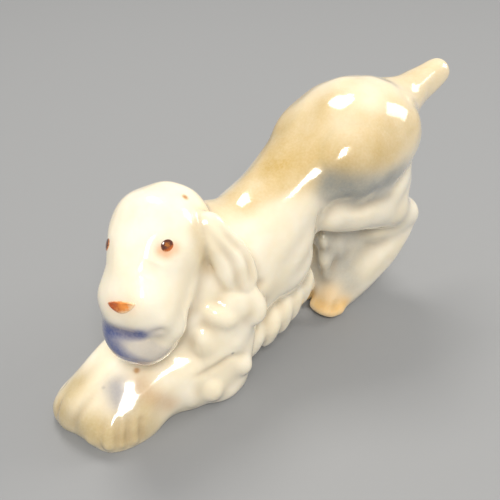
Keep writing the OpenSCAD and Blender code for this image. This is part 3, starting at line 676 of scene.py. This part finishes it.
tan_and_shade_passes = mirrored([
    ([(2.2, -6, 30.8), (3.4, -2, 31.8), (4.8, 1, 32.6), (6.4, 4, 33.2)], 1.9, 0.8),
    ([(1.5, 1, 34), (3.4, 4, 34.8), (5.6, 5.6, 34.6), (7.6, 7, 33.4)], 2.8, 1.2),
    ([(5, 7.5, 37), (8.6, 10, 35), (10.2, 15, 34.4)], 3.4, 0.4),
    ([(9.8, 14, 36), (9.6, 20, 36.4), (6, 28, 37)], 4.0, 0.4),
    ([(4.9, 6.9, 36.5), (7.4, 8.7, 36.9), (8.6, 14.8, 38.8), (8, 22, 38.4)], 3.4, 0.55),
    ([(9.2, 9.2, 34.9), (10.3, 12.5, 35.1), (10.5, 16.6, 35.5)], 2.6, 0.35),
    ([(6, 12.9, 40.1), (8, 15, 39.4), (6.5, 20, 41)], 3.0, 0.35),
]) + [
    ([(0, -10, 30.6), (0, -3, 32.4), (0, 4, 35.6), (0, 12, 40.6)], 3.2, 0.8),
    ([(0, 12, 42), (0, 22, 43), (0, 30, 41)], 5.0, 0.4),
    ([(0, 31, 40), (0, 38, 40)], 3.6, 0.6),
    # Painted shade: tan in the crease between the cheek and the root of the ear
    ([(4.6, -17.9, 32.4), (5.8, -17.4, 28.6), (5.8, -16.4, 25.6)], 1.3, 0.5),
]
grey_and_shade_passes = mirrored([
    # Grey under the haunches: a grey-blue spray, deepened as painted shade where the haunch overhangs the leg
    ([(7.4, 6, 31.4), (8.9, 8.4, 30.4), (10, 11.5, 29.4), (10.3, 15, 29.2), (10, 19, 30.4)], 2.1, 1.1),
    ([(7.4, 5.8, 33), (9.3, 8.3, 32.5), (10.5, 12.6, 31), (10.8, 15.5, 31)], 1.9, 0.7),
    ([(7.8, 6.9, 29.4), (8.5, 9.6, 28), (8.4, 14, 26.6), (8.2, 18, 26)], 1.5, 0.6),
    # Painted shade: grey in the recess between the hind legs, on its curls and along the lower gaskin
    ([(3.2, 11.2, 17.8), (3.2, 12.8, 13.9), (4.3, 14.5, 10.4), (5.9, 14.6, 6.8)], 2.6, 0.6),
    ([(4.8, 15.8, 17.7), (5.1, 18.5, 13.5)], 2.6, 0.4),
    ([(8, 10, 23.4), (9.4, 16, 22.6), (9.2, 24, 20)], 2.6, 0.22),
    ([(3.2, 9.7, 17.2), (2.8, 10.9, 12.2), (2.9, 11.4, 7.4)], 1.6, 0.35),
]) + [
    # Painted shade down the middle between the hind legs; after it, a blue-grey patch on the paw and two dark
    # specks
    ([(0, 18, 14), (0, 14, 8)], 4.0, 0.6),
    ([(2.8, -32.1, 8.3), (4.3, -32.1, 7.2)], 1.8, 0.5),
    ([(9.8, -15.2, 10.6)], 0.2, 3),
    ([(1.6, -33.6, 8.7)], 0.2, 3),
]
print(len(tan_and_shade_passes), "passes of tan,", len(grey_and_shade_passes), "of grey")

# %% Cobalt at the lip and on the ball, deepened as painted shade on the ball's lower left, and the colours of the feet and the eyes
cobalt_and_shade_passes = [
    (on_head([(-2.6, 9.4, -7.3), (-1.2, 9.8, -7.4), (1.0, 9.6, -7.8), (2.6, 9.2, -8.2)]), 0.95, 2.2),
    (on_head([(-3.4, 9.0, -7.2), (1.0, 9.6, -7.8), (5.0, 8.4, -8.6)]), 1.3, 0.45),
    # Blue on the lower left of the ball: blue paint, deepened as painted shade on the side turned down and
    # away from the light
    ([(1.6, -32.2, 19.2), (4.0, -32.3, 18.2), (5.0, -31.7, 16.7), (6.2, -30.7, 15.4)], 2.2, 1.2),
    ([(1.5, -32.3, 18.5), (4.4, -32.2, 17.2), (6.1, -31.2, 16.0), (6.9, -29.6, 14.8)], 1.8, 0.8),
    ([(2.8, -32.1, 8.3), (4.3, -32.1, 7.2)], 1.8, 0.45),
]
olive_passes = [
    ([(3.6, -37.2, 5), (6.6, -34.1, 5.1), (6.8, -30.6, 6.1)], 2.6, 0.9),
    ([(2.5, -38.4, 3), (6.5, -36.9, 2.6), (8, -33.5, 2.1), (8.1, -30, 1.9)], 2.4, 0.9),
    ([(-3, -36, 7), (-2.6, -40, 2.4), (-5, -39.6, 2)], 2.8, 1.2),
]
brown_passes = [
    ([(4.7, -29, 8.7), (6.4, -28.4, 7.5), (7.1, -27.2, 6.2), (7.5, -25.8, 4.5)], 1.5, 0.55),
    ([(2.7, -28.5, 9.8), (4.5, -25, 10)], 1.8, 0.12),
    ([(1, -16.5, 35.3)], 0.35, 3),
    ([(2.8, -28.3, 9.8)], 0.35, 3),
]
orange_passes = mirrored([
    ([(1.4, 10.4, 2.6), (3.6, 10.1, 2.7), (5.2, 11.1, 2.7), (6, 12.9, 2.8)], 1.9, 1.1),
    ([(4.2, 11.3, 5.8)], 2.0, 0.4),
])
eye_blush = mirrored([([(5.1, 0.9, 0.2), (5.7, 0.6, -0.4), (6.3, -0.3, -0.4)], 0.9, 0.9)])
nose_blush = [([(0.2, 9.4, -3), (3.4, 9.4, -3)], 1.2, 0.35)]
pink_passes = [(on_head(path), width, strength) for path, width, strength in eye_blush + nose_blush]
passes = {"tan": tan_and_shade_passes, "grey": grey_and_shade_passes, "cobalt": cobalt_and_shade_passes, "olive": olive_passes,
          "brown": brown_passes, "orange": orange_passes, "pink": pink_passes}
colours = {name: spray(skin, colour_passes) for name, colour_passes in passes.items()}
print(sum(map(len, passes.values())), "passes of", len(colours), "colours in all")

# %% Thin blue all over the ball, and the hollows where glaze pools and painted shade darkens them
ball_spray, ball_edge, flew_edge = 0.26, 0.4, 0.8
on_ball = np.clip(1 - ball.distance(skin) / ball_edge, 0, 1)
off_flew = np.clip(left_flew.distance(skin) / flew_edge, 0, 1)
colours["cobalt"] = np.maximum(colours["cobalt"], ball_spray * on_ball * off_flew)
# How hollow the skin is, used both for glaze that pools and for painted shade in the creases
full_pool_and_shade = 0.012
hollow = np.maximum((lean(skin, edges) * normals(skin, tris)).sum(1), 0)
for k in range(12):
    hollow = hollow + 0.6 * lean(hollow[:, None], edges)[:, 0]
colours["hollow"] = np.clip(hollow / full_pool_and_shade, 0, 1)
print({name: round(float(mask.mean()), 3) for name, mask in colours.items()})

# %% [markdown]
# ## Cutting the skin into the named pieces
# The glaze hides the joins, but the figure is still an assembly. Each triangle goes to the piece whose form
# it lies nearest to, and gets a wall inwards as a slip cast has, so that it is closed. Boolean cuts would
# do it too, but leave ragged edges on a skin this fine. The normals are worked out on the whole skin first,
# so light runs across the joins without a break.

# %% Points that hang together
def joined(pairs, count):
    """One number for all points that edges connect: the smallest number spreads along the edges."""
    mark = np.arange(count)
    while True:
        low = np.minimum(mark[pairs[:, 0]], mark[pairs[:, 1]])
        new = mark.copy()
        np.minimum.at(new, pairs[:, 0], low)
        np.minimum.at(new, pairs[:, 1], low)
        new = new[new]
        if (new == mark).all():
            return mark
        mark = new


# %% Which piece a triangle belongs to, with islands given to the neighbours
names = list(cast)
rounds = 3
reach = np.stack([np.min([form.distance(skin) for form in cast[name]], axis=0) for name in names])
owner = np.argmin(reach[:, tris].mean(2), axis=0)
for k in list(range(len(names))) * rounds:
    own = tris[owner == k]
    island = joined(edges_of(own), len(skin))
    stray = np.setdiff1d(own, np.flatnonzero(island == np.bincount(island[own[:, 0]]).argmax()))
    if len(stray):
        reach[k, stray] = np.inf
        owner = np.argmin(reach[:, tris].mean(2), axis=0)
shade = normals(skin, tris)
print({name: int((owner == k).sum()) for k, name in enumerate(names)})


# %% Close a cut piece
WALL = 0.7


def close(points, triangles, out):
    """Closed shell of a cut piece, as a slip cast is: the skin, the same skin reversed one wall further in,
    and two triangles per rim edge between them. Returns points, triangles and normals."""
    half = np.vstack([triangles[:, [0, 1]], triangles[:, [1, 2]], triangles[:, [2, 0]]]).astype(np.int64)
    rim = half[~np.isin(half[:, 0] << 32 | half[:, 1], half[:, 1] << 32 | half[:, 0])]
    a, b = rim.T
    count = len(points)
    edge = np.vstack([np.stack([b, a, a + count], 1), np.stack([b, a + count, b + count], 1)])
    shell = np.vstack([triangles, triangles[:, ::-1] + count, edge])
    return np.vstack([points, points - WALL * out]), shell, np.vstack([out, -out])


def piece(node, points, triangles, out):
    """Object of one piece in metres, smooth-shaded with the given normals, in place of its solid."""
    mesh = bpy.data.meshes.new(node + "_glazed")
    mesh.from_pydata(points * MM, [], triangles)
    mesh.polygons.foreach_set("use_smooth", np.ones(len(triangles), bool))
    mesh.normals_split_custom_set_from_vertices(out)
    made = bpy.data.objects.new(node + "_glazed", mesh)
    bpy.context.scene.collection.objects.link(made)
    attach(made, "root")
    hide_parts(node)
    return made


pieces = {}
for k, name in enumerate(names):
    used, local = np.unique(tris[owner == k], return_inverse=True)
    pieces[name] = piece(name, *close(skin[used], local.reshape(-1, 3), shade[used]))
    for colour, mask in colours.items():
        values = pieces[name].data.attributes.new(colour, "FLOAT", "POINT").data
        values.foreach_set("value", np.tile(mask[used], 2))
print(len(pieces), "pieces cut")

# %% [markdown]
# ## Eyes and nose
# The eyes and the nose are dabs of enamel on the glaze, slightly raised. Each is a flattened ball with its
# own UV map, seen from the front, so the paint can follow the distance from its middle. It could be cut from
# a sphere; as a surface in two angles it can also carry the two nostrils and a flat upper edge.

# %% Raised dab of enamel
def dab(middle, across, upward, outward, size, dents=(), taper=0.0, lid=1.0):
    """Flattened ball at a middle: sideways cosine times cosine, upwards cosine times sine, outwards the
    sine of the latitude, each times its size. Taper narrows the lower half, lid is the share that is left
    of the upper half, and dents (x, y, radius, depth) press bell-shaped hollows into the front.
    Returns points, triangles and the UV place of every point."""
    rings, sides = 23, 48
    latitude = np.linspace(-np.pi / 2, np.pi / 2, rings + 2)[1:-1, None]
    longitude = -np.linspace(0, 2 * np.pi, sides, endpoint=False)
    x = np.cos(latitude) * np.cos(longitude)
    y = np.cos(latitude) * np.sin(longitude)
    z = np.sin(latitude) + 0 * longitude
    x, y, z = (np.concatenate([[a], v.ravel(), [b]]) for v, a, b in ((x, 0, 0), (y, 0, 0), (z, -1, 1)))
    x = x * (1 - taper * np.clip(-y, 0, 1))
    for dent_x, dent_y, radius, depth in dents:
        z = z - depth * np.exp(-((x - dent_x) ** 2 + (y - dent_y) ** 2) / radius**2) * (z > 0)
    high = np.where(y > 0, lid * y, y)
    points = middle + np.outer(x * size[0], across) + np.outer(high * size[1], upward)
    points = points + np.outer(z * size[2], outward)
    return points, ring_faces(rings, sides), np.stack([0.5 + 0.5 * x, 0.5 + 0.5 * y], 1)


def seat(place, spread=1.2):
    """Nearest place on the skin, and the mean normal of the skin round it."""
    gap = ((skin - place) ** 2).sum(1)
    return skin[np.argmin(gap)], unit(shade[gap < spread**2].sum(0))


# %% Place the eyes and the nose
def enamel(node, place, size, sunk, **shape):
    """Piece of enamel that follows the skin at a place on the head, sunk by a share of its thickness."""
    middle, outward = seat(on_head(place))
    across = unit(np.cross(head_up, outward))
    upward = np.cross(outward, across)
    points, faces, flat = dab(middle - sunk * size[2] * outward, across, upward, outward, size, **shape)
    made = piece(node, points, faces, normals(points, faces))
    layer = made.data.uv_layers.new(name="front")
    layer.data.foreach_set("uv", flat[faces.ravel()].ravel())
    return made


eye_places = {"left_eye": (5.7, 0.1, 0.5), "right_eye": (-3.0, 1.7, 1.2)}
eye_size, nose_size = (1.0, 0.92, 0.3), (2.4, 1.3, 0.35)
sunk = 0.3
for name, place in eye_places.items():
    pieces[name] = enamel(name, place, eye_size, sunk)
nostrils = [(side * 0.5, -0.1, 0.22, 0.4) for side in SIDES.values()]
pieces["nose"] = enamel("nose", (1.8, 9.6, -2.3), nose_size, sunk, dents=nostrils, taper=0.3, lid=0.35)
print("eyes and nose set on the head")

# %% [markdown]
# ## Node helper
# Materials are sums: this much ivory, that much tan. They could be wired by hand in the shader editor. To
# write them as sums, one small class wraps a node's socket, and the usual operators add Math nodes to the
# tree.

# %% A socket that can be calculated with
class Wire:
    """A socket in a node tree. Arithmetic on wires makes Math nodes; node() makes any other node."""

    def __init__(self, tree, socket=None):
        self.tree, self.socket = tree, socket

    def node(self, kind, settings=(), inputs=(), output=0):
        """New node: its settings are set first, then the values or links of its sockets."""
        made = self.tree.nodes.new(kind)
        for key, value in dict(settings).items():
            setattr(made, key, value)
        for key, value in dict(inputs).items():
            if isinstance(value, Wire):
                self.tree.links.new(value.socket, made.inputs[key])
            else:
                made.inputs[key].default_value = value
        return Wire(self.tree, made.outputs[output])

    def math(self, operation, a, b):
        """Result of a Math node on two numbers or wires."""
        return self.node("ShaderNodeMath", {"operation": operation}, {0: a, 1: b})

    def __add__(self, other):
        return self.math("ADD", self, other)

    def __sub__(self, other):
        return self.math("SUBTRACT", self, other)

    def __rsub__(self, other):
        return self.math("SUBTRACT", other, self)

    def __mul__(self, other):
        return self.math("MULTIPLY", self, other)

    __radd__, __rmul__ = __add__, __mul__

    def mix(self, other, share):
        """Colour that goes from this one to the other by a share."""
        settings = {"data_type": "RGBA", "blend_type": "MIX"}
        return self.node("ShaderNodeMix", settings, {0: share, 6: self, 7: other}, 2)

    def step(self, low, high):
        """0 at low and 1 at high, with a soft change between. Low may be the larger of the two."""
        inputs = {"Value": self, "From Min": low, "From Max": high}
        return self.node("ShaderNodeMapRange", {"interpolation_type": "SMOOTHSTEP"}, inputs)

    def noise(self, scale, detail):
        """Cloudy values round 0.5 at the places on this wire, with so many clouds per unit of length."""
        return self.node("ShaderNodeTexNoise", {}, {"Vector": self, "Scale": scale, "Detail": detail})

    def distance(self, place):
        """Distance of the places on this wire from one place."""
        return self.node("ShaderNodeVectorMath", {"operation": "DISTANCE"}, {0: self, 1: place}, "Value")

    def part(self, axis):
        """One coordinate, X, Y or Z, of the places on this wire."""
        return self.node("ShaderNodeSeparateXYZ", {}, {0: self}, axis)

    def paint(self, code):
        """One plain colour, from its hexadecimal code."""
        made = self.node("ShaderNodeRGB")
        made.socket.default_value = hue(code)
        return made

    def mask(self, name):
        """Value of an attribute that the piece carries at its points."""
        return self.node("ShaderNodeAttribute", {"attribute_name": name}, output="Fac")

    def into(self, shader, name):
        """Link this wire to a named socket of a shader."""
        self.tree.links.new(self.socket, shader.inputs[name])


# %% Colours and empty materials
def hue(code):
    """Colour from a hexadecimal code as seen on a screen, made linear as the nodes need it."""
    seen = np.array([int(code[k:k + 2], 16) for k in (0, 2, 4)]) / 255
    return (*np.where(seen <= 0.04045, seen / 12.92, ((seen + 0.055) / 1.055) ** 2.4), 1.0)


def new_material(name):
    """Empty material: its tree as a wire, and its main shader."""
    made = bpy.data.materials.new(name)
    made.use_nodes = True
    return made, Wire(made.node_tree), made.node_tree.nodes["Principled BSDF"]


# %% [markdown]
# ## Glazed porcelain
# Porcelain is white clay under a layer of clear glass. The glaze gives sharp reflections over a soft body,
# pools a little in the hollows, and is never quite flat; the hollows are also darkened as painted shade. The
# pigments lie under it: each covers the ivory by its attribute, broken up by fine noise as sprayed droplets
# are, and parts of the grey, tan and cobalt are painted shade. One material serves all the clay, because the
# colours run across the joins.

# %% Porcelain material
# Colours under the glaze: the grey, and some of the tan and cobalt, also serve as painted shade
PIGMENT_AND_SHADE_COLOURS = {"tan": "BFA25E", "grey": "858C8E", "olive": "B79E5C", "brown": "B8854A", "orange": "F0B848",
            "pink": "E8985A", "cobalt": "3B5092"}
porcelain, tree, shader = new_material("glazed_porcelain")
place = tree.node("ShaderNodeTexCoord", output="Object")
droplets = place.noise(2600, 3) * 0.3 + place.noise(420, 2) * 0.36 + 0.67
colour = tree.paint("F3E8CF").mix(hue("F7EFDD"), place.noise(160, 3).step(0.35, 0.65))
for name, code in PIGMENT_AND_SHADE_COLOURS.items():
    colour = colour.mix(hue(code), tree.math("MINIMUM", tree.mask(name) * droplets, 1.0))
# Pooled glaze and painted shade: the hollows darken towards tan brown
colour = colour.mix(hue("AE946C"), tree.mask("hollow") * 0.45)
ripple = {"Strength": 0.4, "Distance": 0.0001, "Height": place.noise(330, 2)}
colour.into(shader, "Base Color")
(place.noise(900, 2) * 0.12 + 0.1).into(shader, "Roughness")
tree.node("ShaderNodeBump", {}, ripple).into(shader, "Normal")
shader.inputs["Coat Weight"].default_value = 0.7
shader.inputs["Coat Roughness"].default_value = 0.03
shader.inputs["Subsurface Weight"].default_value = 0.12
shader.inputs["Subsurface Radius"].default_value = (0.0012, 0.0008, 0.0005)
shader.inputs["Subsurface Scale"].default_value = 1.0
for name in cast:
    pieces[name].data.materials.append(porcelain)
print(len(PIGMENT_AND_SHADE_COLOURS), "pigments under the glaze of", len(cast), "pieces")

# %% [markdown]
# ## Enamel
# The eyes are amber in the middle, with a dark ring, a brighter part below and a thin orange halo. The nose
# is orange that was brushed from one side, where it is thickest and darkest. A flat colour would look like
# plastic, so both follow their own UV map, and noise breaks up their edges as the hairs of a brush do.

# %% Eye material
eye_paint, tree, shader = new_material("rust_enamel")
flat = tree.node("ShaderNodeUVMap", {"uv_map": "front"})
radius = flat.distance((0.5, 0.55, 0))
streaks = flat.noise(9, 3)
rust = tree.paint("A8621E").mix(hue("52200C"), (radius + (streaks - 0.5) * 0.4).step(0.1, 0.24))
rust = rust.mix(hue("C0601C"), (0.36 - flat.part("Y") + streaks * 0.2).step(0.0, 0.3))
rust = rust.mix(hue("DD9A66"), (radius + (streaks - 0.5) * 0.24).step(0.4, 0.52))
rust.into(shader, "Base Color")
(streaks * 0.1 + 0.06).into(shader, "Roughness")
shader.inputs["Coat Weight"].default_value = 0.8
for name in eye_places:
    pieces[name].data.materials.append(eye_paint)
print(eye_paint.name, "on", " and ".join(eye_places))

# %% Nose material
nose_paint, tree, shader = new_material("orange_enamel")
flat = tree.node("ShaderNodeUVMap", {"uv_map": "front"})
sideways = flat.part("X")
radius = flat.distance((0.5, 0.5, 0))
streaks = flat.noise(6, 4)
orange = tree.paint("E58E3C").mix(hue("B4500F"), (sideways + streaks * 0.6 - 0.3).step(0.65, 0.2))
orange = orange.mix(hue("EFCFA6"), (radius + sideways * 0.16 + (streaks - 0.5) * 0.4).step(0.38, 0.6))
orange.into(shader, "Base Color")
(streaks * 0.15 + 0.12).into(shader, "Roughness")
shader.inputs["Coat Weight"].default_value = 0.6
pieces["nose"].data.materials.append(nose_paint)
print(nose_paint.name, "on the nose")

# %% [markdown]
# ## Camera, floor and lamps
# The photograph looks down on the dog from its front left. The camera could be aimed by a constraint; here
# its axes are worked out from the two angles. The floor is plain and pale, and a few large lamps give the
# soft studio light whose mirror images show that the surface is glass.

# %% Camera at the photograph's angle
azimuth, elevation = np.radians([51, 36])
level = np.array([np.sin(azimuth), -np.cos(azimuth), 0])
back = level * np.cos(elevation) + np.array([0, 0, np.sin(elevation)])
right = np.array([np.cos(azimuth), np.sin(azimuth), 0])
above = np.cross(back, right)
camera_place = (76.87, -66.14, 91.58)
camera = bpy.data.objects.new("camera", bpy.data.cameras.new("camera"))
camera.data.lens, camera.data.sensor_width = 54, 36
camera.data.clip_start = 0.001
turned = Matrix(np.stack([right, above, back], 1).tolist()).to_4x4()
camera.matrix_world = Matrix.Translation(Vector(camera_place) * MM) @ turned
bpy.context.scene.collection.objects.link(camera)
bpy.context.scene.camera = camera
print("camera", round(Vector(camera_place).length), "mm from the middle of the floor under the dog")

# %% Floor
half_floor = 2
corners = [(x * half_floor, y * half_floor, 0) for x, y in ((-1, -1), (1, -1), (1, 1), (-1, 1))]
floor_mesh = bpy.data.meshes.new("floor")
floor_mesh.from_pydata(corners, [], [(0, 1, 2, 3)])
floor = bpy.data.objects.new("floor", floor_mesh)
bpy.context.scene.collection.objects.link(floor)
matt, _, shader = new_material("floor_paper")
shader.inputs["Base Color"].default_value = hue("8F9297")
shader.inputs["Roughness"].default_value = 0.8
floor.data.materials.append(matt)
print("floor", 2 * half_floor, "m square")

# %% Lamps and sky
MIDDLE = (0, 0, 15)
WARM = (1, 0.94, 0.84)


def lamp(name, place, size, watts):
    """Square soft lamp at a place in millimetres, facing the middle of the dog."""
    made = bpy.data.objects.new(name, bpy.data.lights.new(name, "AREA"))
    made.data.size, made.data.energy, made.data.color = size * MM, watts, WARM
    made.location = Vector(place) * MM
    made.rotation_euler = (Vector(place) - Vector(MIDDLE)).to_track_quat("Z", "Y").to_euler()
    bpy.context.scene.collection.objects.link(made)


lamps = {
    "front": ((230, -150, 320), 105, 1.05),
    "top": ((-190, 60, 400), 150, 0.95),
    "back": ((110, 360, 220), 150, 0.5),
}
for name, (place, size, watts) in lamps.items():
    lamp(name, place, size, watts)
world = bpy.data.worlds.new("studio")
bpy.context.scene.world = world
world.use_nodes = True
sky = world.node_tree.nodes["Background"]
sky.inputs["Color"].default_value = (1, 0.97, 0.92, 1)
sky.inputs["Strength"].default_value = 0.6
bpy.context.scene.view_settings.view_transform = "Standard"
print(len(lamps), "lamps of", sum(watts for _, _, watts in lamps.values()), "W in all")
